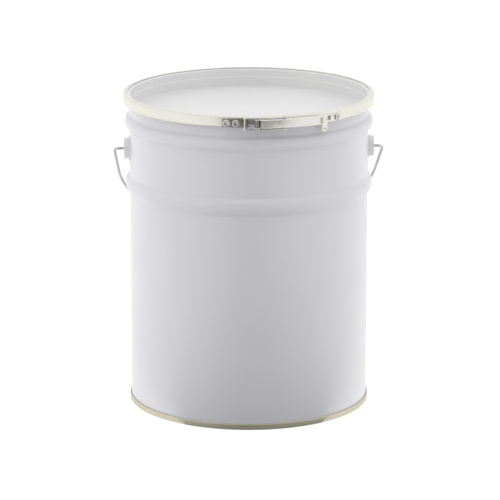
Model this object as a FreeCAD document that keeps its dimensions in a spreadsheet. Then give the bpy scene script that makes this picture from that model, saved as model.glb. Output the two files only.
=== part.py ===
import FreeCAD, Part
import math
import os
import re

import Sketcher

# A 20 litre open-head steel pail: body, recessed lid, lever clamp band, two ears and a wire bail.
# Z is up, the floor is z = 0, the can's axis is x = y = 0, and the latch is on the -Y side.
# Millimetres and degrees. Every size is set once, here; "arc" sizes run round the band's outer face.

SIZES = [
    ("can_height", 380.0, "floor to the top of the clamp band"),
    ("body_bore", 143.0, "inside radius of the body"),
    ("sheet", 0.5, "thickness of the body, bottom and lid sheet"),
    ("seam_tall", 7.0, "height of the double seam at the foot"),
    ("seam_gap", 0.05, "gap between the folded layers of the seam"),
    ("bottom_rise", 6.0, "floor to the underside of the bottom panel"),
    ("bottom_bend", 1.5, "radius between the bottom panel and its wall"),
    ("bead_one_drop", 35.0, "top of the band down to the middle of the upper bead"),
    ("bead_one_out", 5.5, "how far the upper bead stands out"),
    ("bead_one_half", 11.0, "half the height of the upper bead"),
    ("bead_two_drop", 110.0, "top of the band down to the middle of the lower bead"),
    ("bead_two_out", 4.9, "how far the lower bead stands out"),
    ("bead_two_half", 12.0, "half the height of the lower bead"),
    ("bead_foot", 4.0, "radius that blends a bead into the wall"),
    ("curl_radius", 2.5, "outer radius of the rolled rim of the body"),
    ("lid_depth", 24.0, "top of the band down to the lid panel"),
    ("lid_play", 0.4, "gap between the lid's wall and the body's bore"),
    ("lid_corner", 2.5, "radius at the foot of the lid's wall"),
    ("lid_shoulder", 2.0, "radius of the lid's rim"),
    ("lid_skirt", 8.0, "length of the lid's outer skirt"),
    ("lid_step", 0.8, "width of the step in the lid's wall"),
    ("lid_step_drop", 11.0, "top of the band down to the step in the lid's wall"),
    ("gasket_tall", 1.4, "thickness of the gasket"),
    ("gasket_gap", 0.05, "gap between the gasket and the lid"),
    ("part_gap", 0.3, "gap between surfaces of pieces that come apart"),
    ("cut_over", 1.0, "how far a cut runs past the piece that it cuts"),
    ("band_slack", 0.55, "gap between the lid's rim and the rivet heads inside the band"),
    ("band_sheet", 0.9, "thickness of the clamp band"),
    ("band_under", 4.75, "underside of the curl down to the foot of the band"),
    ("band_bend", 2.5, "outer bend radius of the clamp band"),
    ("lip_gap", 1.9, "gap between the band's lips and the body's wall"),
    ("band_lip_slope", 30.0, "slope of the lower lip"),
    ("split_left", -0.5, "arc to the left end of the band"),
    ("split_right", 16.0, "arc to the right end of the band"),
    ("latch_bearing", -92.7, "bearing of the latch's zero mark"),
    ("latch_sink", 0.1, "top of the band down to the topmost pin head of the latch"),
    ("latch_sheet", 1.0, "thickness of the latch's plates"),
    ("seat_gap", 0.05, "gap under a riveted plate and in a rivet hole"),
    ("rivet_radius", 2.0, "radius of a rivet's shank"),
    ("rivet_head", 4.4, "radius of a rivet's outer head"),
    ("rivet_dome", 1.5, "height of a rivet's outer head"),
    ("low_head", 3.4, "radius of a rivet head that lies under the lever"),
    ("low_dome", 0.9, "height of a rivet head that lies under the lever"),
    ("rivet_taper", 1.2, "how much an outer head narrows to its top"),
    ("rivet_eye_wall", 0.5, "wall of a hollow rivet at its mouth"),
    ("rivet_eye_floor", 0.3, "thickness left under a hollow rivet's eye"),
    ("inner_head", 0.5, "thickness of a rivet's head inside the band"),
    ("inner_head_over", 0.7, "how far a rivet's head inside the band overhangs its shank"),
    ("hook_rivets", -20.5, "arc to the middle of the hook plate's rivets"),
    ("hook_rivet_pitch", 11.0, "distance between the hook plate's rivets"),
    ("hook_left", -31.0, "arc to the left end of the hook plate"),
    ("hook_half", 4.7, "half the height of the hook plate"),
    ("hook_wall", 1.1, "thickness of the hook's wall"),
    ("hook_out", 4.4, "how far the hook's wall stands out from the plate"),
    ("bar_arc", -4.4, "arc to the draw loop's cross bar"),
    ("bar_radius", 1.2, "radius of the draw loop's cross bar"),
    ("bar_slack", 1.0, "gap between the cross bar and the hook's wall"),
    ("knuckle_sink", 0.15, "how far the knuckle sinks into the end lug's strap"),
    ("hinge_arc", 9.6, "arc to the lever's hinge pin"),
    ("hinge_pin", 1.75, "radius of the lever's hinge pin"),
    ("crank_arc", 41.0, "arc to the draw loop's pin"),
    ("loop_pin", 1.6, "radius of the draw loop's pin"),
    ("pin_fit", 0.05, "radial gap of a pin in its hole"),
    ("pin_head_tall", 0.55, "height of a pin's head"),
    ("pin_head_over", 0.8, "how far a pin's head overhangs its hole"),
    ("lug_half", 3.8, "half the height of the end lug"),
    ("lug_right", 57.0, "arc to the right end of the end lug"),
    ("lug_rivets", 37.5, "arc to the middle of the end lug's rivets"),
    ("lug_rivet_pitch", 25.0, "distance between the end lug's rivets"),
    ("knuckle_wall", 1.1, "thickness of the end lug's knuckle"),
    ("knuckle_room", 0.5, "gap between the knuckle and the lever's face"),
    ("lever_right", 86.0, "arc to the tip of the lever"),
    ("lug_room", 0.6, "gap between the end lug and the lever's sides"),
    ("pin_room", 1.0, "gap between the loop's pin and the lever's face"),
    ("lever_gap", 1.0, "gap between the band and the lever's edges"),
    ("lever_lug_gap", 0.5, "gap between the band and the lever's lugs"),
    ("lever_bend", 1.5, "outer bend radius of the lever's channel"),
    ("lever_window", 0.5, "how far the opening at the lever's root cuts into its sides"),
    ("pull_out", 3.0, "how far the lever's pull lip stands out"),
    ("arm_sheet", 1.0, "thickness of a loop arm"),
    ("arm_deep", 3.8, "radial depth of a loop arm"),
    ("arm_end", 3.0, "radius of a loop arm's end"),
    ("hasp_left", 89.0, "arc to the left end of the seal hasp"),
    ("hasp_right", 120.0, "arc to the right end of the seal hasp"),
    ("hasp_half", 4.5, "half the height of the seal hasp"),
    ("hasp_rivet_arc", 112.0, "arc to the seal hasp's rivet"),
    ("tab_arc", 93.5, "arc to the middle of the hasp's hanging tab"),
    ("tab_half", 3.7, "half the width of the hanging tab"),
    ("tab_long", 11.7, "middle of the latch down to the hole in the tab"),
    ("tab_hole", 1.6, "radius of the hole in the tab"),
    ("bridge_arc", 102.5, "arc to the middle of the hasp's raised bridge"),
    ("bridge_half", 2.6, "half the width of the raised bridge"),
    ("bridge_out", 2.6, "how far the raised bridge stands out"),
    ("ear_drop", 69.0, "top of the band down to the ears"),
    ("ear_flange", 15.5, "radius of an ear's welded flange"),
    ("ear_sheet", 0.8, "thickness of an ear's sheet"),
    ("ear_dish", 12.8, "radius of an ear's dish where it meets the flange"),
    ("ear_out", 7.0, "how far an ear's dish stands out from the body"),
    ("ear_round", 1.2, "radius round the dish's face"),
    ("bail_radius", 1.75, "radius of the bail's wire"),
    ("bail_fit", 0.25, "radial gap of the bail in an ear's hole"),
    ("bail_out", 10.8, "ears' faces to the middle of the bail's wire"),
    ("bail_elbow", 6.0, "radius of the bend beside an ear"),
    ("bail_draw_in", 4.0, "how much narrower the round part is than the bail at its ears"),
    ("bail_lean", 48.0, "angle at which the bail hangs behind the can"),
    ("bail_behind", 2.9, "body's wall to the middle of the wire where the bail rests behind it"),
    ("bail_head_over", 1.2, "how far the upset end of the bail overhangs an ear's hole"),
    ("bail_head_tall", 1.6, "thickness of the upset end of the bail"),
    ("bail_tail", 2.0, "body to the inner end of the bail"),
]

# Levels, radii and arcs worked out from those sizes.
FORMULAS = {
    "wall": "body_bore + sheet",
    "fold": "seam_gap + sheet / 2",
    "fold_level": "2 * (sheet + seam_gap) + sheet / 2",
    "cover_fold": "seam_gap + 1.5 * sheet",
    "seam_face": "wall + 3 * (seam_gap + sheet)",
    "lid_top": "can_height - band_sheet - part_gap",
    "lid_well": "body_bore - lid_play - sheet",
    "lid_face": "body_bore + 2 * curl_radius + part_gap + sheet",
    "gasket_top": "lid_top - sheet - gasket_gap",
    "curl_level": "gasket_top - gasket_tall - part_gap - curl_radius",
    "band_face": "lid_face + band_slack + inner_head + seat_gap + band_sheet",
    "band_foot": "min(curl_level - curl_radius - band_under; latch - rivet_radius - inner_head_over"
                 " - band_bend)",
    "band_lip": "wall + lip_gap",
    "seat": "band_face + seat_gap",
    "plate_face": "seat + latch_sheet",
    "knuckle": "hinge_pin + pin_fit + knuckle_wall",
    "pin_face": "plate_face + knuckle - knuckle_sink",
    "lever_half": "lug_half + lug_room + latch_sheet",
    "lever_left": "hinge_arc + knuckle + knuckle_room",
    "lever_face": "pin_face + loop_pin + pin_room + latch_sheet",
    "lever_root": "band_face + lever_gap",
    "lever_lug": "pin_face - band_face - lever_lug_gap",
    "arm_in": "lever_half + pin_fit + pin_head_tall + part_gap",
    "arm_out": "arm_in + arm_sheet",
    "latch": "can_height - latch_sink - arm_out - pin_fit - pin_head_tall",
    "bar_edge": "bar_radius + bar_slack",
    "ears": "can_height - ear_drop",
    "ear_seat": "wall + seat_gap",
    "ear_face": "wall + ear_out",
    "bail_half": "ear_face + bail_out",
    "bail_arc": "bail_half - bail_draw_in",
    "bail_legs": "(wall + bail_behind) / sin(bail_lean) - bail_arc",
    "bail_head": "bail_radius + bail_fit + bail_head_over",
    "bail_tip": "wall + bail_tail",
}
ALIASES = {alias for alias, size, note in SIZES}

os.makedirs("parts", exist_ok=True)
doc = FreeCAD.newDocument("PaintCan")
dims = doc.addObject("Spreadsheet::Sheet", "Dims")
for row, (alias, size, note) in enumerate(SIZES, start=1):
    dims.set(f"A{row}", note)
    dims.set(f"B{row}", str(size))
    dims.setAlias(f"B{row}", alias)
doc.recompute()


# ---- Writing sizes and drawing outlines -------------------------------------------------------

def bound(text):
    """Turns a formula in size names into an expression on the sheet's cells."""
    def swap(found):
        word = found[0]
        if word in FORMULAS:
            return f"({bound(FORMULAS[word])})"
        return f"Dims.{word}" if word in ALIASES else word
    return re.sub(r"[a-z_]+", swap, text)


def number(text):
    return float(FreeCAD.Units.Quantity(dims.evalExpression(bound(text))).Value)


def bearing(arc):
    """Angle, from the latch's zero mark, of a place given as an arc round the band's face."""
    return f"({arc}) / band_face * 180 / pi"


def across(distance, arc, centre):
    """Place in a latch piece's own frame: X points out from the can, Y runs round it to the right."""
    turn = bearing(f"{arc} - ({centre})")
    return f"({distance}) * cos({turn})", f"({distance}) * sin({turn})"


def plane(body, role):
    return next(item for item in body.Origin.OriginFeatures if item.Role == role)


def new_body(label, centre=None):
    """A body, turned about the can's axis to a place on the band when centre is given."""
    body = doc.addObject("PartDesign::Body", f"{label}_body")
    body.Label = label
    if centre is not None:
        body.Placement.Rotation = FreeCAD.Rotation(FreeCAD.Vector(0, 0, 1), 1)
        body.setExpression("Placement.Rotation.Angle", bound(f"latch_bearing + {bearing(centre)}"))
    return body


def new_sketch(body, name, role, lift="", shift="", swing=""):
    """A sketch on one of the body's planes: lifted off it, shifted along its Y, or swung round its Y."""
    sketch = body.newObject("Sketcher::SketchObject", f"{body.Label}_{name}")
    sketch.AttachmentSupport = (plane(body, role), "")
    sketch.MapMode = "FlatFace"
    if swing:
        sketch.AttachmentOffset.Rotation = FreeCAD.Rotation(FreeCAD.Vector(0, 1, 0), 1)
        sketch.setExpression("AttachmentOffset.Rotation.Angle", bound(swing))
    if lift:
        sketch.setExpression("AttachmentOffset.Base.z", bound(lift))
    if shift:
        sketch.setExpression("AttachmentOffset.Base.y", bound(shift))
    return sketch


def tie(sketch, kind, *where, size):
    """Adds a dimension and binds it to the sheet."""
    index = sketch.addConstraint(Sketcher.Constraint(kind, *where, number(size)))
    sketch.setExpression(f"Constraints[{index}]", bound(size))


def place_point(sketch, edge, end, x, y):
    for kind, axis, size in (("DistanceX", -2, x), ("DistanceY", -1, y)):
        if size == "0":
            sketch.addConstraint(Sketcher.Constraint("PointOnObject", edge, end, axis))
        else:
            tie(sketch, kind, -1, 1, edge, end, size=size)


def draw_outline(sketch, corners, closed=True):
    """Joins corners (x, y) by lines. A corner (x, y, radius, turn) is reached along an arc instead,
    whose turn is 1 to the left and -1 to the right."""
    points = [FreeCAD.Vector(number(corner[0]), number(corner[1]), 0) for corner in corners]
    edges = []
    for index, corner in enumerate(corners):
        if index == 0 and not closed:
            continue
        start, end = points[index - 1], points[index]
        if len(corner) == 2:
            edge = sketch.addGeometry(Part.LineSegment(start, end))
        else:
            radius = number(corner[2])
            chord = end - start
            right = FreeCAD.Vector(chord.y, -chord.x, 0).normalize()
            rise = radius - math.sqrt(max(radius ** 2 - chord.Length ** 2 / 4, 0))
            crown = (start + end) / 2 + right * rise * corner[3]
            edge = sketch.addGeometry(Part.Arc(start, crown, end))
        first = 1 if sketch.getPoint(edge, 1).distanceToPoint(start) < 1e-6 else 2
        edges.append((edge, first, 3 - first, corner))
    for index, (edge, first, last, corner) in enumerate(edges):
        if closed or index > 0:
            before = edges[index - 1]
            sketch.addConstraint(Sketcher.Constraint("Coincident", before[0], before[2], edge, first))
        else:
            place_point(sketch, edge, first, corners[0][0], corners[0][1])
        place_point(sketch, edge, last, corner[0], corner[1])
        if len(corner) == 4:
            tie(sketch, "Radius", edge, size=corner[2])


def bent_sheet(path, thick, skin):
    """Outline of a bent sheet. The path runs along one skin: (x, y, facing) and, where it arrives by a
    bend, (x, y, facing, radius, swell), swell 1 where that skin is the outside of the bend, -1 inside.
    skin is 1 where the skin is on the right of the path, -1 on the left."""
    front = []
    back = []
    for step in path:
        x, y, facing = step[:3]
        bend = step[3:]
        front.append((x, y) if not bend else (x, y, bend[0], bend[1] * skin))
        back.append((f"({x}) - {thick} * cos({facing})", f"({y}) - {thick} * sin({facing})"))
    outline = list(front)
    for index in range(len(path) - 1, -1, -1):
        corner = back[index]
        following = path[index + 1][3:] if index + 1 < len(path) else ()
        if following:
            radius, swell = following
            sign = "-" if swell > 0 else "+"
            corner = (*corner, f"{radius} {sign} {thick}", -swell * skin)
        outline.append(corner)
    return outline


def rectangle(x_low, x_high, y_low, y_high):
    return [(x_low, y_low), (x_high, y_low), (x_high, y_high), (x_low, y_high)]


# ---- Features ---------------------------------------------------------------------------------

def revolve(body, name, corners, left="", right="360", cut=False, about="V_Axis", **attach):
    """Turns an outline in the XZ plane round Z, or round the sketch's own X axis about="H_Axis".
    left and right are the angles that it covers to each side of its sketch."""
    sketch = new_sketch(body, f"{name}_sketch", "XZ_Plane", **attach)
    draw_outline(sketch, corners)
    kind = "PartDesign::Groove" if cut else "PartDesign::Revolution"
    feature = body.newObject(kind, f"{body.Label}_{name}")
    feature.Profile = sketch
    feature.ReferenceAxis = (sketch, [about])
    feature.setExpression("Angle", bound(right))
    if left:
        feature.Type = "TwoAngles"
        feature.setExpression("Angle2", bound(left))
    sketch.Visibility = False
    return feature


def extrude(body, name, sketch, length, cut):
    feature = body.newObject("PartDesign::Pocket" if cut else "PartDesign::Pad", f"{body.Label}_{name}")
    feature.Profile = sketch
    feature.Reversed = cut
    feature.setExpression("Length", bound(length))
    sketch.Visibility = False
    return feature


def plate(body, name, corners, low, high, role="XY_Plane", cut=False):
    """Adds or cuts an outline from low to high along the plane's own normal."""
    sketch = new_sketch(body, f"{name}_sketch", role, lift=low)
    draw_outline(sketch, corners)
    return extrude(body, name, sketch, f"({high}) - ({low})", cut)


def drum(body, name, centres, radius, low, high, role="XY_Plane", cut=False):
    """Adds or cuts round bars, standing on or bored from the plane's own normal."""
    sketch = new_sketch(body, f"{name}_sketch", role, lift=low)
    for x, y in centres:
        edge = sketch.addGeometry(Part.Circle(FreeCAD.Vector(number(x), number(y), 0),
                                              FreeCAD.Vector(0, 0, 1), number(radius)))
        place_point(sketch, edge, 3, x, y)
        tie(sketch, "Radius", edge, size=radius)
    return extrude(body, name, sketch, f"({high}) - ({low})", cut)


# ---- Body of the can --------------------------------------------------------------------------



def bead(drop, out, half):
    """A pressed bead: foot bend, crown and foot bend, tangent to each other and to the wall."""
    level = f"(can_height - {drop})"
    lean = f"(2 * atan({out} / {half}))"
    crown = f"{half} / sin({lean}) - bead_foot"
    step_out = f"wall + bead_foot * (1 - cos({lean}))"
    step_up = f"({half} - bead_foot * sin({lean}))"
    return [
        ("wall", f"{level} - {half}", "0"),
        (step_out, f"{level} - {step_up}", f"-{lean}", "bead_foot", -1),
        (step_out, f"{level} + {step_up}", lean, crown, 1),
        ("wall", f"{level} + {half}", "0", "bead_foot", -1),
    ]


def make_body_shell():
    """One rolled sheet: hook for the foot seam, wall with two beads, and the curled rim."""
    hook_face = "wall + 2 * fold"
    curl_middle = "(body_bore + curl_radius)"
    path = [
        (hook_face, "seam_tall - sheet - seam_gap - sheet - seam_gap - sheet", "180"),
        (hook_face, "fold_level", "180"),
        ("wall + fold", "fold_level - fold", "90", "fold", -1),
        ("wall", "fold_level", "0", "fold", -1),
        *bead("bead_two_drop", "bead_two_out", "bead_two_half"),
        *bead("bead_one_drop", "bead_one_out", "bead_one_half"),
        ("wall", "curl_level", "0"),
        (curl_middle, "curl_level + curl_radius - sheet", "-90", "curl_radius - sheet", -1),
        (f"{curl_middle} + curl_radius - sheet", "curl_level", "180", "curl_radius - sheet", -1),
        (f"{curl_middle} - (curl_radius - sheet) * sin(30)",
         "curl_level - (curl_radius - sheet) * cos(30)", "60", "curl_radius - sheet", -1),
    ]
    body = new_body("body_shell")
    revolve(body, "wall", bent_sheet(path, "sheet", skin=1))
    return body




def make_bottom_end():
    """The pressed bottom, whose rim folds round the body's hook in a double seam."""
    chuck_face = "(body_bore - seam_gap - sheet)"
    fold_middle = "(seam_face - cover_fold)"
    path = [
        ("0", "bottom_rise", "-90"),
        (f"{chuck_face} - bottom_bend", "bottom_rise", "-90"),
        (chuck_face, "bottom_rise - bottom_bend", "-180", "bottom_bend", -1),
        (chuck_face, "cover_fold", "-180"),
        (f"{chuck_face} + cover_fold", "0", "-90", "cover_fold", 1),
        (fold_middle, "0", "-90"),
        ("seam_face", "cover_fold", "0", "cover_fold", 1),
        ("seam_face", "seam_tall - cover_fold", "0"),
        (fold_middle, "seam_tall", "90", "cover_fold", 1),
        (f"{fold_middle} - cover_fold", "seam_tall - cover_fold", "180", "cover_fold", 1),
        (f"{fold_middle} - cover_fold", "fold_level + seam_gap", "180"),
    ]
    body = new_body("bottom_end")
    revolve(body, "pressing", bent_sheet(path, "sheet", skin=1))
    return body


def make_seam_compound():
    """The sealing compound that fills the head of the seam."""
    inner = "wall + 2 * fold + seam_gap"
    low = "seam_tall - 3 * sheet - seam_gap"
    body = new_body("bottom_seam_compound")
    revolve(body, "fill", rectangle(inner, f"{inner} + sheet - 2 * seam_gap", low, f"{low} + sheet"))
    return body


# ---- Lid --------------------------------------------------------------------------------------



def make_lid():
    """The recessed lid: flat panel, stepped wall, and a rim that hooks over the body's curl."""
    panel = "can_height - lid_depth"
    step = "(can_height - lid_step_drop)"
    bend = "(lid_step / 2 / (1 - cos(45)))"
    path = [
        ("0", panel, "90"),
        ("lid_well - lid_step - lid_corner", panel, "90"),
        ("lid_well - lid_step", f"{panel} + lid_corner", "180", "lid_corner", -1),
        ("lid_well - lid_step", f"{step} - {bend} * sin(45)", "180"),
        ("lid_well - lid_step / 2", step, "135", bend, 1),
        ("lid_well", f"{step} + {bend} * sin(45)", "180", bend, -1),
        ("lid_well", "lid_top - lid_shoulder", "180"),
        ("lid_well + lid_shoulder", "lid_top", "90", "lid_shoulder", 1),
        ("lid_face - lid_shoulder", "lid_top", "90"),
        ("lid_face", "lid_top - lid_shoulder", "0", "lid_shoulder", 1),
        ("lid_face", "lid_top - lid_skirt", "0"),
    ]
    body = new_body("lid")
    revolve(body, "pressing", bent_sheet(path, "sheet", skin=-1))
    return body


def make_lid_gasket():
    """The rubber ring that the lid's rim presses on to the curl."""
    body = new_body("lid_gasket")
    revolve(body, "ring", rectangle("lid_well + lid_shoulder", "lid_face - lid_shoulder",
                                    "gasket_top - gasket_tall", "gasket_top"))
    return body


# ---- Clamp band and the plates riveted to it ----------------------------------------------------



HOOK_RIVETS = ["hook_rivets - hook_rivet_pitch / 2", "hook_rivets + hook_rivet_pitch / 2"]
LUG_RIVETS = ["lug_rivets - lug_rivet_pitch / 2", "lug_rivets + lug_rivet_pitch / 2"]
HASP_RIVETS = ["hasp_rivet_arc"]


def drill(body, centre, arcs):
    """Drills rivet holes, each pointing at the can's axis, through a piece whose frame is at centre."""
    for index, arc in enumerate(arcs, start=1):
        hole = rectangle("band_lip", "lever_face", "0", "rivet_radius + seat_gap")
        revolve(body, f"rivet_hole_{index}", hole, cut=True, about="H_Axis", shift="latch",
                swing=bearing(f"{arc} - ({centre})"))


def make_clamp_band():
    """The split ring of channel section, whose lips grip the lid's rim and the body's curl."""
    fall = "(-90 - band_lip_slope)"
    lip_x = f"(band_face - band_bend + band_bend * cos({fall}))"
    lip_z = f"(band_foot + band_bend + band_bend * sin({fall}))"
    path = [
        ("band_lip", "can_height", "90"),
        ("band_face - band_bend", "can_height", "90"),
        ("band_face", "can_height - band_bend", "0", "band_bend", 1),
        ("band_face", "band_foot + band_bend", "0"),
        (lip_x, lip_z, fall, "band_bend", 1),
        ("band_lip", f"{lip_z} + ({lip_x} - band_lip) * tan(band_lip_slope)", fall),
    ]
    back = "pi * band_face"
    body = new_body("clamp_band", back)
    revolve(body, "ring", bent_sheet(path, "band_sheet", skin=-1),
            right=f"180 + {bearing('split_left')}", left=f"180 - {bearing('split_right')}")
    drill(body, back, HOOK_RIVETS + LUG_RIVETS + HASP_RIVETS)
    return body


def make_rivets(label, arcs, head, dome, hollow):
    """Rivets through the band and a plate on it, with thin heads inside the band."""
    inside = "(band_face - band_sheet - seat_gap)"
    outside = "(plate_face + seat_gap)"
    eye = "rivet_radius - rivet_eye_wall"
    body = new_body(label, "0")
    body.AllowCompound = True
    for index, arc in enumerate(arcs, start=1):
        corners = [
            (f"{inside} - inner_head", "0"),
            (f"{inside} - inner_head", "rivet_radius + inner_head_over - inner_head / 2"),
            (inside, "rivet_radius + inner_head_over"),
            (inside, "rivet_radius"),
            (outside, "rivet_radius"),
            (outside, head),
            (f"{outside} + {dome} / 3", head),
            (f"{outside} + {dome}", f"{head} - rivet_taper"),
        ]
        if hollow:
            corners += [
                (f"{outside} + {dome}", eye),
                (f"{outside} + rivet_eye_floor", eye),
                (f"{outside} + rivet_eye_floor", "0"),
            ]
        else:
            corners.append((f"{outside} + {dome}", "0"))
        revolve(body, f"rivet_{index}", corners, about="H_Axis", shift="latch", swing=bearing(arc))
    return body




def make_hook_plate():
    """The plate on the band's left end, with an upright wall that the draw loop hooks behind."""
    reach = "bar_arc + bar_edge + hook_wall + latch_sheet / 2"
    low = "latch - hook_half"
    high = "latch + hook_half"
    body = new_body("hook_plate", "hook_rivets")
    revolve(body, "strap", rectangle("seat", "plate_face", low, high),
            right=bearing(f"{reach} - hook_rivets"), left=bearing("hook_rivets - hook_left"))
    bar = across("pin_face", "bar_arc", "hook_rivets")[1]
    near = f"({bar} + bar_edge)"
    root = f"sqrt((seat + latch_sheet / 2) ^ 2 - ({near}) ^ 2)"
    plate(body, "wall", rectangle(root, "plate_face + hook_out", near, f"{near} + hook_wall"), low, high)
    drill(body, "hook_rivets", HOOK_RIVETS)
    return body


def make_end_lug():
    """The plate on the band's right end, whose rolled knuckle holds the lever's hinge pin."""
    low = "latch - lug_half"
    high = "latch + lug_half"
    hinge = [across("pin_face", "hinge_arc", "lug_rivets")]
    body = new_body("end_lug", "lug_rivets")
    revolve(body, "strap", rectangle("seat", "plate_face", low, high),
            right=bearing("lug_right - lug_rivets"), left=bearing("lug_rivets - hinge_arc + hinge_pin"))
    drum(body, "knuckle", hinge, "knuckle", low, high)
    drum(body, "bore", hinge, "hinge_pin + pin_fit", low, high, cut=True)
    drill(body, "lug_rivets", LUG_RIVETS)
    return body


def make_seal_hasp():
    """The riveted plate beyond the lever's tip: raised bridge, and a hanging tab holed for a seal."""
    low = "latch - hasp_half"
    high = "latch + hasp_half"
    body = new_body("seal_hasp", "tab_arc")
    revolve(body, "strap", rectangle("seat", "plate_face", low, high),
            right=bearing("hasp_right - tab_arc"), left=bearing("tab_arc - hasp_left"))
    bridge = bearing("bridge_arc - tab_arc")
    half_span = bearing("bridge_half")
    half_opening = bearing("bridge_half - latch_sheet")
    revolve(body, "bridge", rectangle("seat + latch_sheet / 2", "plate_face + bridge_out",
                                      "latch - bridge_half", "latch + bridge_half"),
            right=half_span, left=half_span, swing=bridge)
    revolve(body, "tunnel", rectangle("plate_face", "plate_face + bridge_out - latch_sheet", low, high),
            cut=True, right=half_opening, left=half_opening, swing=bridge)
    hole = [("0", "latch - tab_long")]
    plate(body, "tab", rectangle("-tab_half", "tab_half", "latch - tab_long", "latch"),
          "seat", "plate_face", role="YZ_Plane")
    drum(body, "tab_end", hole, "tab_half", "seat", "plate_face", role="YZ_Plane")
    drum(body, "tab_hole", hole, "tab_hole", "band_lip", "lever_face", role="YZ_Plane", cut=True)
    drill(body, "tab_arc", HASP_RIVETS)
    return body


# ---- Lever, draw loop and their pins --------------------------------------------------------------

def make_pin(label, centre, radius, grip):
    """A plain latch pin with a head at each end, standing on the pin circle."""
    body = new_body(label, centre)
    spot = [("pin_face", "0")]
    head = f"({grip} + pin_fit)"
    drum(body, "shank", spot, radius, f"latch - {head}", f"latch + {head}")
    head_radius = f"{radius} + pin_fit + pin_head_over"
    drum(body, "top_head", spot, head_radius, f"latch + {head}", f"latch + {head} + pin_head_tall")
    drum(body, "foot_head", spot, head_radius, f"latch - {head} - pin_head_tall", f"latch - {head}")
    return body


def make_lever():
    """The lever: a channel pressed to the band's curve, with two lugs round the hinge pin."""
    top = "latch + lever_half"
    foot = "latch - lever_half"
    path = [
        ("lever_root", top, "90"),
        ("lever_face - lever_bend", top, "90"),
        ("lever_face", f"{top} - lever_bend", "0", "lever_bend", 1),
        ("lever_face", f"{foot} + lever_bend", "0"),
        ("lever_face - lever_bend", foot, "-90", "lever_bend", 1),
        ("lever_root", foot, "-90"),
    ]
    body = new_body("lever", "hinge_arc")
    revolve(body, "channel", bent_sheet(path, "latch_sheet", skin=-1),
            right=bearing("lever_right - hinge_arc"))
    window = rectangle("lever_face - latch_sheet - lever_window", "lever_face + cut_over",
                       f"{foot} - cut_over", f"{top} + cut_over")
    revolve(body, "window", window, cut=True, right=bearing("lever_left - hinge_arc"))
    tip = bearing("lever_right - hinge_arc")
    revolve(body, "pull_lip", rectangle("lever_face - latch_sheet", "lever_face + pull_out",
                                        f"{foot} + lever_bend", f"{top} - lever_bend"),
            left=bearing("latch_sheet"), right=bearing("latch_sheet / 4"), swing=tip)
    for name, low in (("top_lug", f"{top} - latch_sheet"), ("foot_lug", foot)):
        drum(body, name, [("pin_face", "0")], "lever_lug", low, f"{low} + latch_sheet")
    drum(body, "hinge_bore", [("pin_face", "0")], "hinge_pin + pin_fit", foot, top, cut=True)
    drum(body, "crank_bore", [across("pin_face", "crank_arc", "hinge_arc")], "loop_pin + pin_fit",
         foot, top, cut=True)
    return body


def make_draw_loop():
    """The loop that draws the band's ends together: two arms beside the lever and a cross bar."""
    body = new_body("draw_loop", "bar_arc")
    crank = [across("pin_face", "crank_arc", "bar_arc")]
    drum(body, "cross_bar", [("pin_face", "0")], "bar_radius", "latch - arm_out", "latch + arm_out")
    for name, low in (("top", "latch + arm_in"), ("foot", "latch - arm_out")):
        high = f"{low} + arm_sheet"
        side = rectangle("pin_face - arm_deep / 2", "pin_face + arm_deep / 2", low, high)
        revolve(body, f"{name}_arm", side, right=bearing("crank_arc - bar_arc"))
        drum(body, f"{name}_corner", [("pin_face", "0")], "arm_deep / 2", low, high)
        drum(body, f"{name}_eye", crank, "arm_end", low, high)
    drum(body, "bore", crank, "loop_pin + pin_fit", "latch - arm_out", "latch + arm_out", cut=True)
    return body


# ---- Ears and bail --------------------------------------------------------------------------------



def make_ear(label, side):
    """A pressed ear: a flange that follows the wall, and a dish with a hole for the bail."""
    body = new_body(label)
    body.Placement.Rotation = FreeCAD.Rotation(FreeCAD.Vector(0, 0, 1), side)
    centre = [("0", "ears")]
    inside = "wall - ear_out"
    spread = "asin(2 * ear_flange / body_bore)"
    low = "ears - ear_flange - cut_over"
    high = "ears + ear_flange + cut_over"
    drum(body, "flange", centre, "ear_flange", inside, "ear_face", role="YZ_Plane")
    revolve(body, "flange_face", rectangle("ear_seat + ear_sheet", "ear_face + cut_over", low, high),
            cut=True, left=spread, right=spread)
    drum(body, "flange_hole", centre, "ear_dish - ear_sheet",
         f"{inside} - cut_over", "ear_face + cut_over", role="YZ_Plane", cut=True)
    path = [
        (inside, "ear_dish", "90"),
        ("ear_face - ear_round", "ear_dish", "90"),
        ("ear_face", "ear_dish - ear_round", "0", "ear_round", 1),
        ("ear_face", "bail_radius + bail_fit", "0"),
    ]
    revolve(body, "dish", bent_sheet(path, "ear_sheet", skin=-1), about="H_Axis", shift="ears")
    revolve(body, "back", rectangle("ear_out", "ear_seat", low, high), cut=True,
            left=spread, right=spread)
    return body


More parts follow.
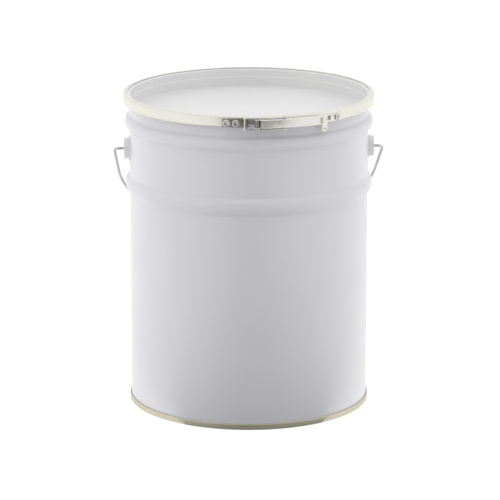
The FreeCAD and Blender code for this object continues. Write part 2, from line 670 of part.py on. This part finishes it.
def make_bail_wire():
    """The wire bail: upset ends inside the ears, elbows, straight legs and a round part."""
    elbow_x = "(bail_half - bail_elbow)"
    rise = "(bail_legs - bail_elbow)"
    splay = (f"(atan({rise} / {elbow_x}) - acos((bail_arc - bail_elbow) / "
             f"sqrt({elbow_x} ^ 2 + {rise} ^ 2)))")
    knee = (f"{elbow_x} + bail_elbow * cos({splay})", f"-bail_elbow + bail_elbow * sin({splay})")
    hip = (f"bail_arc * cos({splay})", f"-bail_legs + bail_arc * sin({splay})")
    path = [
        ("bail_tip", "0"),
        (elbow_x, "0"),
        (*knee, "bail_elbow", -1),
        hip,
        ("0", "-bail_legs - bail_arc", "bail_arc", -1),
        (f"-({hip[0]})", hip[1], "bail_arc", -1),
        (f"-({knee[0]})", knee[1]),
        (f"-{elbow_x}", "0", "bail_elbow", -1),
        ("-bail_tip", "0"),
    ]
    body = new_body("bail_wire")
    body.setExpression("Placement.Base.z", bound("ears"))
    body.Placement.Rotation = FreeCAD.Rotation(FreeCAD.Vector(1, 0, 0), 1)
    body.setExpression("Placement.Rotation.Angle", bound("bail_lean"))
    spine = new_sketch(body, "spine", "XZ_Plane")
    draw_outline(spine, path, closed=False)
    section = new_sketch(body, "section", "YZ_Plane", lift="bail_tip")
    circle = section.addGeometry(Part.Circle(FreeCAD.Vector(0, 0, 0), FreeCAD.Vector(0, 0, 1), 1))
    place_point(section, circle, 3, "0", "0")
    tie(section, "Radius", circle, size="bail_radius")
    doc.recompute()
    wire = body.newObject("PartDesign::AdditivePipe", "bail_wire_rod")
    wire.Profile = section
    wire.Spine = (spine, [f"Edge{index + 1}" for index in range(len(path) - 1)])
    for name, low in (("right_head", "bail_tip"), ("left_head", "-bail_tip - bail_head_tall")):
        drum(body, name, [("0", "0")], "bail_head", low, f"{low} + bail_head_tall", role="YZ_Plane")
    return body


# ---- Building, checking and writing -----------------------------------------------------------

pieces = [
    make_body_shell(),
    make_bottom_end(),
    make_seam_compound(),
    make_ear("ear_right", 0),
    make_ear("ear_left", 180),
    make_lid(),
    make_lid_gasket(),
    make_clamp_band(),
    make_hook_plate(),
    make_rivets("hook_plate_rivets", HOOK_RIVETS, "rivet_head", "rivet_dome", hollow=True),
    make_end_lug(),
    make_rivets("end_lug_rivets", LUG_RIVETS, "low_head", "low_dome", hollow=False),
    make_seal_hasp(),
    make_rivets("seal_hasp_rivet", HASP_RIVETS, "rivet_head", "rivet_dome", hollow=True),
    make_pin("lever_hinge_pin", "hinge_arc", "hinge_pin", "lever_half"),
    make_lever(),
    make_pin("draw_loop_pin", "crank_arc", "loop_pin", "arm_out"),
    make_draw_loop(),
    make_bail_wire(),
]
doc.recompute()

for item in doc.Objects:
    if "Invalid" in item.State or "Error" in item.State:
        raise ValueError(f"{item.Label} did not build: {item.State}")
for piece in pieces:
    if not piece.Shape.isValid() or piece.Shape.Volume <= 0:
        raise ValueError(f"{piece.Label} has a bad shape")
    piece.Shape.exportStep(f"parts/{piece.Label}.step")
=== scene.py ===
import math

import bpy
from mathutils import Matrix, Vector


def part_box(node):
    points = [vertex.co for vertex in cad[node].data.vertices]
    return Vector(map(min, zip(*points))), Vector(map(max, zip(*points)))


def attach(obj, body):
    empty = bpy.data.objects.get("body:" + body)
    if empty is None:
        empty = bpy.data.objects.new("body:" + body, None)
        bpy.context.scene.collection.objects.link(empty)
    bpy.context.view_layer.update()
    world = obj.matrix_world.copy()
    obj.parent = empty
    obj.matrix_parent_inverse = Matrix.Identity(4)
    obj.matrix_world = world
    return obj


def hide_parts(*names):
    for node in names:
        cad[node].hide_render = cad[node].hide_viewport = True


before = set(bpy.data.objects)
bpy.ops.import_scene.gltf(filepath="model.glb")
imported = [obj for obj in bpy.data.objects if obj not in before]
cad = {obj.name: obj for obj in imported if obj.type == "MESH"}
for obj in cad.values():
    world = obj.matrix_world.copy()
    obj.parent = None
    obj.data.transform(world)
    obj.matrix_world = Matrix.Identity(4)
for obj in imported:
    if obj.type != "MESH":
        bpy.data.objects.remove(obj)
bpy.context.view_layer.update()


# ---- Body wall --------------------------------------------------------------------------------
# One sheet of steel, rolled into a tube, pressed out into two beads that stiffen it, and curled
# outwards at the rim. It is sprayed inside and out with white enamel.

def deselect():
    bpy.ops.object.select_all(action="DESELECT")


def edit(piece):
    deselect()
    bpy.context.view_layer.objects.active = piece
    piece.select_set(True)
    bpy.ops.object.mode_set(mode="EDIT")
    bpy.ops.mesh.select_all(action="SELECT")


def leave_edit():
    bpy.ops.object.mode_set(mode="OBJECT")


def apply_modifier(piece, kind, **settings):
    modifier = piece.modifiers.new(kind.title(), kind)
    for name, value in settings.items():
        setattr(modifier, name, value)
    deselect()
    bpy.context.view_layer.objects.active = piece
    piece.select_set(True)
    bpy.ops.object.modifier_apply(modifier=modifier.name)


def shade(piece, sharpest=30):
    """Shades a piece smooth, except across edges that turn more than sharpest degrees."""
    deselect()
    bpy.context.view_layer.objects.active = piece
    piece.select_set(True)
    bpy.ops.object.shade_smooth_by_angle(angle=math.radians(sharpest))


def follow(start, heading, moves, bend_step=10):
    """Draws with what is selected, in the XZ plane: a number goes straight on by that length, and
    (radius, degrees) is a bend, degrees above 0 to the left. Returns the last place and heading."""
    x, z = start
    for move in moves:
        if isinstance(move, tuple):
            radius, turn = move
            side = math.copysign(radius, turn)
            middle_x = x - side * math.sin(heading)
            middle_z = z + side * math.cos(heading)
            bpy.ops.mesh.spin(steps=max(2, math.ceil(abs(turn) / bend_step)), angle=math.radians(turn),
                              center=(middle_x, 0, middle_z), axis=(0, 1, 0))
            heading += math.radians(turn)
            x = middle_x + side * math.sin(heading)
            z = middle_z - side * math.cos(heading)
        else:
            step = (move * math.cos(heading), move * math.sin(heading))
            bpy.ops.mesh.extrude_region_move(TRANSFORM_OT_translate={"value": (step[0], 0, step[1])})
            x += step[0]
            z += step[1]
    return (x, z), heading


def turn_sheet(name, start, heading, moves, sheet, metal, sweep=360, first=0, steps=256):
    """Turns a sheet metal profile round the can's axis. The profile starts at (radius, height) in
    direction heading, and the metal lies on its left (metal 1) or its right (metal -1)."""
    deselect()
    bpy.ops.mesh.primitive_circle_add(vertices=3, radius=sheet, location=(start[0], 0, start[1]))
    piece = bpy.context.active_object
    piece.name = piece.data.name = name
    bpy.ops.object.transform_apply(location=True)
    edit(piece)
    bpy.ops.mesh.merge(type="CENTER")
    turned = math.radians(heading)
    follow(start, turned, moves)
    bpy.ops.mesh.select_all(action="SELECT")
    bpy.ops.transform.rotate(value=-math.radians(first), orient_axis="Z", center_override=(0, 0, 0))
    bpy.ops.mesh.spin(steps=steps, angle=-math.radians(sweep), center=(0, 0, 0), axis=(0, 0, 1))
    bpy.ops.mesh.select_all(action="SELECT")
    bpy.ops.mesh.remove_doubles(threshold=sheet / 50)
    bpy.ops.mesh.normals_make_consistent(inside=False)
    leave_edit()
    run = moves[0]
    middle = Vector((start[0] + run / 2 * math.cos(turned), start[1] + run / 2 * math.sin(turned)))
    metal_side = Vector((-math.sin(turned), math.cos(turned))) * metal

    def off(face):
        return (Vector((face.center.xy.length, face.center.z)) - middle).length

    nearest = min(piece.data.polygons, key=off)
    outward = nearest.normal.xy.dot(nearest.center.xy.normalized())
    along = Vector((outward, nearest.normal.z)).dot(metal_side)
    apply_modifier(piece, "SOLIDIFY", thickness=sheet, offset=math.copysign(1, along), use_even_offset=True)
    shade(piece)
    return piece


def bead(out, half, foot):
    """The moves up a pressed bead: foot bend, crown and foot bend, each tangent to the next."""
    lean = 2 * math.degrees(math.atan(out / half))
    crown = half / math.sin(math.radians(lean)) - foot
    return [(foot, -lean), (crown, 2 * lean), (foot, -lean)]


sheet = 0.0005
floor_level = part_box("bottom_end")[0].z
rim_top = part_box("body_shell")[1].z
can_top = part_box("clamp_band")[1].z
wall = 0.1435
curl = 0.0025
curl_turn = 210
upper_bead = {"out": 0.0055, "half": 0.011, "foot": 0.004}
lower_bead = {"out": 0.0049, "half": 0.012, "foot": 0.004}
upper_level = can_top - 0.035
lower_level = can_top - 0.110
wall_foot = 0.0014
wall_start = floor_level + wall_foot
curl_level = rim_top - curl

wall_moves = [
    lower_level - lower_bead["half"] - wall_start,
    *bead(**lower_bead),
    upper_level - upper_bead["half"] - lower_level - lower_bead["half"],
    *bead(**upper_bead),
    curl_level - upper_level - upper_bead["half"],
]
body = turn_sheet("body_wall", (wall, wall_start), 90, [*wall_moves, (curl - sheet, -curl_turn)], sheet,
                  metal=1)


def material(name):
    """A new material with its Principled shader, and functions that add and join nodes in it."""
    made = bpy.data.materials.new(name)
    made.use_nodes = True
    tree = made.node_tree
    shader = tree.nodes["Principled BSDF"]

    def add(kind, inputs=None, **settings):
        item = tree.nodes.new(kind)
        for key, value in settings.items():
            setattr(item, key, value)
        for key, value in (inputs or {}).items():
            if hasattr(value, "links"):
                tree.links.new(value, item.inputs[key])
            else:
                item.inputs[key].default_value = value
        return item

    def join(output, name):
        tree.links.new(output, shader.inputs[name])

    return made, shader, add, join


def noise(add, stretch, scale, detail=3.0):
    """Noise on the piece's own coordinates, stretched along an axis by a small number in stretch."""
    place = add("ShaderNodeTexCoord").outputs["Object"]
    mapped = add("ShaderNodeMapping", {"Vector": place, "Scale": stretch}).outputs["Vector"]
    return add("ShaderNodeTexNoise", {"Vector": mapped, "Scale": scale, "Detail": detail}).outputs["Fac"]


def between(add, factor, low, high, start=0.35, end=0.65):
    """A number that goes from low to high as factor goes from start to end."""
    inputs = {"Value": factor, "From Min": start, "From Max": end, "To Min": low, "To Max": high}
    return add("ShaderNodeMapRange", inputs).outputs["Result"]


def blend(add, factor, first, second):
    """A colour between two colours."""
    mix = add("ShaderNodeMix", data_type="RGBA")
    tree = mix.id_data
    tree.links.new(factor, mix.inputs["Factor"])
    for socket, colour in ((mix.inputs[6], first), (mix.inputs[7], second)):
        if hasattr(colour, "links"):
            tree.links.new(colour, socket)
        else:
            socket.default_value = (*colour, 1)
    return mix.outputs[2]


def bump(add, join, height, depth):
    """Joins a height to the shader's normal, depth in metres."""
    join(add("ShaderNodeBump", {"Height": height, "Strength": 1.0, "Distance": depth}).outputs["Normal"],
         "Normal")


def enamel(name, colour, shadow_colour, gloss, wear_and_shade_colour, wear_and_shade_radius, least_wear_and_shade=0):
    """Sprayed enamel: cloudy tone, orange peel, dust specks, and rub marks where the piece stands
    out further than the given radius from the can's axis, which on the lid's skirt are painted shade."""
    made, shader, add, join = material(name)
    tone = blend(add, between(add, noise(add, (1, 1, 0.5), 9), 0, 1), shadow_colour, colour)
    specks = between(add, noise(add, (1, 1, 1), 420, 1), 0, 0.35, 0.74, 0.8)
    tone = blend(add, specks, tone, wear_and_shade_colour)
    place = add("ShaderNodeSeparateXYZ", {"Vector": add("ShaderNodeTexCoord").outputs["Object"]})
    flat = add("ShaderNodeCombineXYZ", {"X": place.outputs["X"], "Y": place.outputs["Y"]})
    radius = add("ShaderNodeVectorMath", {0: flat.outputs["Vector"]}, operation="LENGTH").outputs["Value"]
    # Past the given radius the colour turns to the rub colour in scratchy marks. On the body's bead crowns
    # and on the ears this is rub wear. On the lid's skirt it is painted shade, with its least share raised
    # so that the skirt is dark all round.
    proud = between(add, radius, 0, 1, wear_and_shade_radius, wear_and_shade_radius + 0.0012)
    scratch_and_shade = between(add, noise(add, (30, 30, 900), 1, 4), least_wear_and_shade, least_wear_and_shade + 0.5, 0.56, 0.7)
    worn_and_shaded = add("ShaderNodeMath", {0: proud, 1: scratch_and_shade}, operation="MULTIPLY").outputs["Value"]
    join(blend(add, worn_and_shaded, tone, wear_and_shade_colour), "Base Color")
    join(between(add, noise(add, (1, 1, 1), 34), gloss - 0.05, gloss + 0.07), "Roughness")
    bump(add, join, noise(add, (1, 1, 1), 620, 2), 0.00004)
    shader.inputs["Coat Weight"].default_value = 0.35
    shader.inputs["Coat Roughness"].default_value = 0.2
    return made


def finish(piece, body_name, slot, coat, *replaced):
    """Gives a piece its finish, the body that it moves with and the CAD nodes that it stands for."""
    piece.data.materials.clear()
    piece.data.materials.append(coat)
    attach(piece, body_name)
    if replaced:
        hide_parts(*replaced)


bead_rub = 0.0016
body_enamel = enamel("body_enamel", (0.75, 0.74, 0.775), (0.725, 0.715, 0.755), 0.36, (0.55, 0.55, 0.57),
                     wall + upper_bead["out"] - bead_rub)
finish(body, "can", "body_paint", body_enamel, "body_shell")

# ---- Side weld --------------------------------------------------------------------------------
# The two edges of the body's sheet overlap by a few millimetres down the back and are resistance
# welded. The weld is a low flat ridge under the enamel, from the foot seam up to the curl.

weld_width = 2.4
weld_rise = 0.0003
weld_foot = 0.0076
weld_end_gap = 0.001
weld_clear = 0.00001
weld = turn_sheet("side_weld", (wall + weld_clear, floor_level + weld_foot), 90,
                  [wall_moves[0] + wall_foot - weld_foot, *wall_moves[1:-1], wall_moves[-1] - weld_end_gap],
                  weld_rise, metal=-1, sweep=weld_width, first=90 - weld_width / 2, steps=4)
finish(weld, "can", "body_paint", body_enamel)

# ---- Bottom end -------------------------------------------------------------------------------
# The bottom is a pressed disc of tinplate whose rim is folded round the foot of the wall in a
# double seam. It is left bare but for a gold lacquer, so the seam shows as a thin yellowish ring.


def plated(name, light, dark, roughness, grain, grain_scale, metal=1.0, cloud_scale=70, depth=0.000001):
    """Plated or tinned steel: clouded tone, drawing or rolling lines along grain, dull patches."""
    made, shader, add, join = material(name)
    cloud = between(add, noise(add, (1, 1, 1), cloud_scale), 0, 1, 0.2, 0.8)
    lines = noise(add, grain, grain_scale, 2)
    tone = blend(add, cloud, dark, light)
    dulled = blend(add, between(add, lines, 0, 0.35), tone, dark)
    join(dulled, "Base Color")
    join(between(add, noise(add, (1, 1, 1), 120), roughness - 0.03, roughness + 0.05), "Roughness")
    bump(add, join, lines, depth)
    shader.inputs["Metallic"].default_value = metal
    return made


seam_tall = 0.007
seam_out = 0.00165
seam_face = wall + seam_out
fold = 0.0008
chuck_in = 0.00105
chuck = wall - chuck_in
panel_rise = 0.006
panel_bend = 0.0015
hook_short = 0.0006
bottom = turn_sheet("bottom_cover", (0, floor_level + panel_rise), 0, [
    chuck - panel_bend, (panel_bend, -90), panel_rise - panel_bend - fold, (fold, 90),
    seam_face - fold - chuck - fold, (fold, 90), seam_tall - 2 * fold, (fold, 180),
    seam_tall - 2 * fold - hook_short,
], sheet, metal=1)
tinplate = plated("lacquered_tinplate", (0.66, 0.62, 0.50), (0.58, 0.54, 0.42), 0.42, (30, 30, 1500), 1,
                  cloud_scale=16)
finish(bottom, "can", "tinplate", tinplate, "bottom_end")

# ---- Seam compound and gasket -----------------------------------------------------------------
# Grey sealing compound fills the head of the foot seam, and a grey rubber ring lies under the
# lid's rim. Both are hidden once the can is closed.


def rubber(name, colour, roughness):
    """Matt rubber: a fine pitted surface with dusty patches."""
    made, shader, add, join = material(name)
    dust = tuple(part * 1.4 for part in colour)
    join(blend(add, between(add, noise(add, (1, 1, 1), 90), 0, 1), colour, dust), "Base Color")
    join(between(add, noise(add, (1, 1, 1), 40), roughness, roughness + 0.1), "Roughness")
    bump(add, join, noise(add, (1, 1, 1), 1800, 2), 0.00005)
    shader.inputs["Specular IOR Level"].default_value = 0.3
    return made


cad["bottom_seam_compound"].material_slots[0].material = rubber("seam_compound", (0.30, 0.28, 0.25), 0.7)
cad["lid_gasket"].material_slots[0].material = rubber("gasket_ring", (0.22, 0.22, 0.23), 0.8)

# ---- Ears -------------------------------------------------------------------------------------
# Two cups pressed from thick sheet, each with a flange that is spot-welded to the wall and a hole
# in its face for the end of the bail. They are enamelled with the body.


def refine(node, name, rounding, flat=2, sharp=35):
    """A copy of a CAD piece with its flat faces merged and its edges rounded."""
    deselect()
    original = cad[node]
    original.select_set(True)
    bpy.context.view_layer.objects.active = original
    bpy.ops.object.duplicate()
    piece = bpy.context.active_object
    piece.name = piece.data.name = name
    piece.parent = None
    for key in list(piece.keys()):
        del piece[key]
    edit(piece)
    bpy.ops.mesh.customdata_custom_splitnormals_clear()
    bpy.ops.mesh.remove_doubles(threshold=0.000002)
    bpy.ops.mesh.dissolve_limited(angle_limit=math.radians(flat))
    leave_edit()
    apply_modifier(piece, "BEVEL", width=rounding, segments=2, limit_method="ANGLE",
                   angle_limit=math.radians(sharp))
    apply_modifier(piece, "TRIANGULATE")
    shade(piece)
    return piece


ear_rub_radius = 0.1497
ear_rounding = 0.00018
ear_enamel = enamel("ear_enamel", (0.80, 0.795, 0.805), (0.74, 0.735, 0.75), 0.34, (0.45, 0.44, 0.43),
                    ear_rub_radius)
for side in ("left", "right"):
    ear = refine(f"ear_{side}", f"ear_cup_{side}", ear_rounding)
    finish(ear, "can", "ear_paint", ear_enamel, f"ear_{side}")

weld_ring = 0.0142
weld_spot = 0.0008
spot_rise = 0.35
spots = 6
flange_out = 0.00085
ear_level = (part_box("ear_left")[0].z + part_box("ear_left")[1].z) / 2
flange_face = wall + flange_out
for side in (1, -1):
    for spot in range(spots):
        turn = math.tau * (spot + 0.5) / spots
        across = weld_ring * math.cos(turn)
        outward = math.sqrt(flange_face ** 2 - across ** 2)
        deselect()
        bpy.ops.mesh.primitive_uv_sphere_add(
            segments=16, ring_count=8, radius=weld_spot,
            location=(side * outward, across, ear_level + weld_ring * math.sin(turn)))
        dimple = bpy.context.active_object
        dimple.name = dimple.data.name = f"ear_weld_{'right' if side > 0 else 'left'}_{spot + 1}"
        dimple.scale = (spot_rise, 1, 1)
        bpy.ops.object.transform_apply(location=True, scale=True)
        shade(dimple, 180)
        finish(dimple, "can", "ear_paint", ear_enamel)

# ---- Lid --------------------------------------------------------------------------------------
# The lid is a pressed tray that drops into the can: a flat panel, a wall with one small step, and
# a rim that hooks over the body's curl. It is enamelled white on the outside.

lid_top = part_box("lid")[1].z
lid_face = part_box("lid")[1].x
lid_inset = 0.0014
lid_well = wall - lid_inset
lid_step = 0.0008
lid_corner = 0.0025
lid_shoulder = 0.002
lid_skirt = 0.006
lid_depth = 0.024
lid_step_depth = 0.011
lid_step_turn = 45
lid_shade_inset = 0.0012
lid_floor = can_top - lid_depth
step_level = can_top - lid_step_depth
step_bend = lid_step / 2 / (1 - math.cos(math.radians(lid_step_turn)))
step_half = step_bend * math.sin(math.radians(lid_step_turn))
lid = turn_sheet("lid_pan", (0, lid_floor), 0, [
    lid_well - lid_step - lid_corner, (lid_corner, 90),
    step_level - step_half - lid_floor - lid_corner,
    (step_bend, -lid_step_turn), (step_bend, lid_step_turn),
    lid_top - lid_shoulder - step_level - step_half, (lid_shoulder, -90),
    lid_face - lid_well - 2 * lid_shoulder, (lid_shoulder, -90), lid_skirt,
], sheet, metal=-1)
# The lid's skirt, outside its outer radius less the inset, is painted nearly black brown at half strength
# or more, streaked like rub marks. This is painted shade where the skirt shows dark in the gap between the
# band's ends.
lid_enamel_and_shade = enamel("lid_enamel_and_shade", (0.815, 0.812, 0.808), (0.79, 0.788, 0.79), 0.4,
                    (0.12, 0.09, 0.075), lid_face - lid_shade_inset, 0.5)
finish(lid, "lid_body", "lid_paint", lid_enamel_and_shade, "lid")

# ---- Clamp band -------------------------------------------------------------------------------
# A split ring rolled from zinc-plated strip into a channel. Its lips grip the lid's rim and the
# underside of the curl, and its ends stay a little apart under the latch.

band_face = 0.1508
band_sheet = 0.0009
band_bend = 0.0025
lip_gap = 0.0019
band_lip = wall + lip_gap
band_tall = can_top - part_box("clamp_band")[0].z
lip_slope = 30
lip_run = band_face - band_bend * (1 + math.sin(math.radians(lip_slope))) - band_lip
latch_bearing = -92.7
split = (-0.0005, 0.016)


def bearing(arc):
    """Bearing, in degrees, of a place given as an arc round the band's face."""
    return latch_bearing + math.degrees(arc / band_face)


band = turn_sheet("clamp_ring", (band_lip, can_top), 0, [
    band_face - band_bend - band_lip, (band_bend, -90), band_tall - 2 * band_bend,
    (band_bend, -90 - lip_slope), lip_run / math.cos(math.radians(lip_slope)),
], band_sheet, metal=-1, sweep=360 - math.degrees((split[1] - split[0]) / band_face),
    first=bearing(split[1]), steps=252)
band_zinc = plated("band_zinc", (0.80, 0.79, 0.73), (0.75, 0.74, 0.675), 0.3, (25, 25, 1500), 1,
                   metal=0.9, cloud_scale=14)
finish(band, "band_body", "band_zinc", band_zinc, "clamp_band")

# ---- Latch plates and rivets ------------------------------------------------------------------
# Stamped plates riveted through the band: a hook plate on its left end, a lug with a rolled
# knuckle on its right end, and a hasp with a hanging tab where a seal goes through. Each row below
# gives the piece's name, its slot, its finish and how much its edges are rounded.

dull_steel = plated("dull_plate", (0.40, 0.385, 0.35), (0.24, 0.23, 0.21), 0.42, (60, 60, 900), 1)
rivet_steel = plated("rivet_plate", (0.74, 0.73, 0.69), (0.52, 0.51, 0.48), 0.3, (300, 300, 300), 1)
plates = {
    "hook_plate": ("hook", "plate_steel", dull_steel, 0.0002),
    "end_lug": ("hinge_lug", "plate_steel", dull_steel, 0.0002),
    "seal_hasp": ("seal_plate", "band_zinc", band_zinc, 0.00022),
    "hook_plate_rivets": ("hook_rivet_pair", "rivet_steel", rivet_steel, 0.00012),
    "end_lug_rivets": ("lug_rivet_pair", "rivet_steel", rivet_steel, 0.00012),
    "seal_hasp_rivet": ("seal_rivet", "rivet_steel", rivet_steel, 0.00012),
    "lever_hinge_pin": ("hinge_pin", "rivet_steel", rivet_steel, 0.0001),
}
for node, (name, slot, coat, rounding) in plates.items():
    finish(refine(node, name, rounding), "band_body", slot, coat, node)

# ---- Lever and draw loop ----------------------------------------------------------------------
# The lever is a channel pressed to the band's curve. It turns on the lug's pin, and its own pin
# carries the draw loop, whose cross bar hooks behind the hook plate and pulls the ends together.

lever_zinc = plated("lever_zinc", (0.83, 0.825, 0.785), (0.78, 0.775, 0.725), 0.3, (25, 25, 1500), 1,
                    metal=0.7, cloud_scale=20)
levers = {
    "lever": ("lever_channel", "lever_body", "lever_zinc", lever_zinc, 0.00025),
    "draw_loop_pin": ("loop_pin", "lever_body", "rivet_steel", rivet_steel, 0.0001),
    "draw_loop": ("draw_link", "loop_body", "lever_zinc", lever_zinc, 0.0002),
}
for node, (name, body_name, slot, coat, rounding) in levers.items():
    finish(refine(node, name, rounding), body_name, slot, coat, node)

# ---- Bail -------------------------------------------------------------------------------------
# One length of galvanised wire. Its ends are upset inside the ears so that they can't pull out,
# and it hangs behind the can until someone lifts it.

bail_radius = 0.00175
bail_head = 0.0032
bail_head_tall = 0.0016
bail_tail = 0.002
bail_out = 0.0108
bail_draw_in = 0.004
ear_out = 0.007
bail_tip = wall + bail_tail
bail_half = wall + ear_out + bail_out
bail_arc = bail_half - bail_draw_in
bail_elbow = 0.006
bail_lean = 48
bail_behind = 0.0029

bail_legs = (wall + bail_behind) / math.sin(math.radians(bail_lean)) - bail_arc
elbow_x = bail_half - bail_elbow
rise = bail_legs - bail_elbow
span = math.hypot(elbow_x, rise)
splay = math.atan2(rise, elbow_x) - math.acos((bail_arc - bail_elbow) / span)
leg = math.sqrt(span ** 2 - (bail_arc - bail_elbow) ** 2)
elbow_turn = 90 - math.degrees(splay)
round_turn = 180 + 2 * math.degrees(splay)

deselect()
bpy.ops.mesh.primitive_circle_add(vertices=24, radius=bail_head, fill_type="NGON",
                                  location=(bail_tip, 0, 0), rotation=(0, math.pi / 2, 0))
bail = bpy.context.active_object
bail.name = bail.data.name = "bail_handle"
bpy.ops.object.transform_apply(location=True, rotation=True)
edit(bail)
place, heading = follow((bail_tip, 0), 0, [bail_head_tall])
neck = bail_radius / bail_head
bpy.ops.mesh.extrude_region_move()
bpy.ops.transform.resize(value=(neck, neck, neck), center_override=(place[0], 0, place[1]))
place, heading = follow(place, heading, [elbow_x - bail_tip - bail_head_tall, (bail_elbow, -elbow_turn)])
place, heading = follow(place, heading, [leg])
place, heading = follow(place, heading, [(bail_arc, -round_turn)], bend_step=3)
place, heading = follow(place, heading, [leg, (bail_elbow, -elbow_turn),
                                         elbow_x - bail_tip - bail_head_tall])
bpy.ops.mesh.extrude_region_move()
bpy.ops.transform.resize(value=(1 / neck, 1 / neck, 1 / neck), center_override=(place[0], 0, place[1]))
follow(place, heading, [bail_head_tall])
bpy.ops.mesh.select_all(action="SELECT")
bpy.ops.mesh.remove_doubles(threshold=0.000002)
bpy.ops.mesh.normals_make_consistent(inside=False)
leave_edit()
lean = Matrix.Translation((0, 0, ear_level)) @ Matrix.Rotation(math.radians(bail_lean), 4, "X")
bail.matrix_world = lean
deselect()
bail.select_set(True)
bpy.ops.object.transform_apply(location=True, rotation=True)
apply_modifier(bail, "BEVEL", width=0.0003, segments=2, limit_method="ANGLE",
               angle_limit=math.radians(50))
shade(bail, 40)
galvanised = plated("galvanised_wire", (0.66, 0.66, 0.65), (0.45, 0.45, 0.44), 0.36, (500, 500, 500), 1)
finish(bail, "bail", "bail_steel", galvanised, "bail_wire")

# ---- Floor, light and camera ------------------------------------------------------------------
# A plain white floor under soft light from above and both sides. A black screen with a grey foot
# stands in front, which gives the wall one soft dark stripe down its middle.

paper, paper_shader, paper_add, paper_join = material("white_paper")
paper_join(blend(paper_add, between(paper_add, noise(paper_add, (1, 1, 1), 3), 0, 1), (0.98, 0.98, 0.98),
                 (1, 1, 1)), "Emission Color")
paper_shader.inputs["Base Color"].default_value = (0.02, 0.02, 0.02, 1)
paper_shader.inputs["Roughness"].default_value = 0.9
paper_shader.inputs["Emission Strength"].default_value = 1.05


def cloth(name, colour, worn_colour, side_colour):
    """Matt woven cloth, a little worn, dyed lighter or darker towards its sides."""
    made, shader, add, join = material(name)
    worn = blend(add, noise(add, (1, 1, 1), 40), colour, worn_colour)
    place = add("ShaderNodeSeparateXYZ", {"Vector": add("ShaderNodeTexCoord").outputs["Object"]})
    across = add("ShaderNodeMath", {0: place.outputs["X"]}, operation="ABSOLUTE").outputs["Value"]
    join(blend(add, between(add, across, 0, 1, 0.12, 0.5), worn, side_colour), "Base Color")
    shader.inputs["Roughness"].default_value = 0.95
    return made


def stage_plane(name, coat, place, size, stands=False):
    deselect()
    bpy.ops.mesh.primitive_plane_add(size=1, location=place, rotation=(math.pi / 2 if stands else 0, 0, 0))
    plane = bpy.context.active_object
    plane.name = name
    plane.scale = (*size, 1)
    plane.data.materials.append(coat)
    return plane


stage_plane("floor", paper, (0, 0, floor_level - 0.0003), (12, 12))
black_cloth = cloth("black_cloth", (0.02, 0.02, 0.022), (0.05, 0.05, 0.055), (0.1, 0.1, 0.1))
grey_cloth = cloth("grey_cloth", (0.44, 0.44, 0.44), (0.5, 0.5, 0.5), (0.97, 0.97, 0.97))
for screen in (
    stage_plane("screen_wall", black_cloth, (0.05, -1.5, 0.6), (1.45, 1.2), stands=True),
    stage_plane("screen_foot", grey_cloth, (0.03, -0.8, floor_level - 0.0001), (0.6, 1.36)),
):
    screen.visible_camera = False

scene = bpy.context.scene
scene.view_settings.view_transform = "Standard"
world = bpy.data.worlds.new("studio")
world.use_nodes = True
world.node_tree.nodes["Background"].inputs["Color"].default_value = (1, 1, 1, 1)
world.node_tree.nodes["Background"].inputs["Strength"].default_value = 1.0
scene.world = world


def soft_light(name, place, size, power):
    light = bpy.data.lights.new(name, "AREA")
    light.shape = "RECTANGLE"
    light.size, light.size_y = size
    light.energy = power
    lamp = bpy.data.objects.new(name, light)
    lamp.location = place
    lamp.rotation_mode = "QUATERNION"
    lamp.rotation_quaternion = (Vector((0, 0, 0.2)) - Vector(place)).to_track_quat("-Z", "Y")
    scene.collection.objects.link(lamp)


soft_light("light_above", (0.3, 0.2, 2.6), (2.4, 2.4), 1)
soft_light("light_left", (-2.2, -0.2, 1.3), (1.2, 2.2), 1)
soft_light("light_right", (2.2, -0.2, 1.3), (1.2, 2.2), 1)

camera_distance = 3.6
camera_height = 1.1108
camera_pitch = 0.2523
camera_aim = 0.00039
focal_share = 6.1242
lens = bpy.data.cameras.new("camera")
lens.sensor_width = 36
lens.lens = lens.sensor_width * focal_share
camera = bpy.data.objects.new("camera", lens)
view_from = math.radians(latch_bearing)
camera.location = (camera_distance * math.cos(view_from), camera_distance * math.sin(view_from),
                   camera_height)
camera.rotation_euler = (math.pi / 2 - camera_pitch, 0, view_from + math.pi / 2 - camera_aim)
scene.collection.objects.link(camera)
scene.camera = camera
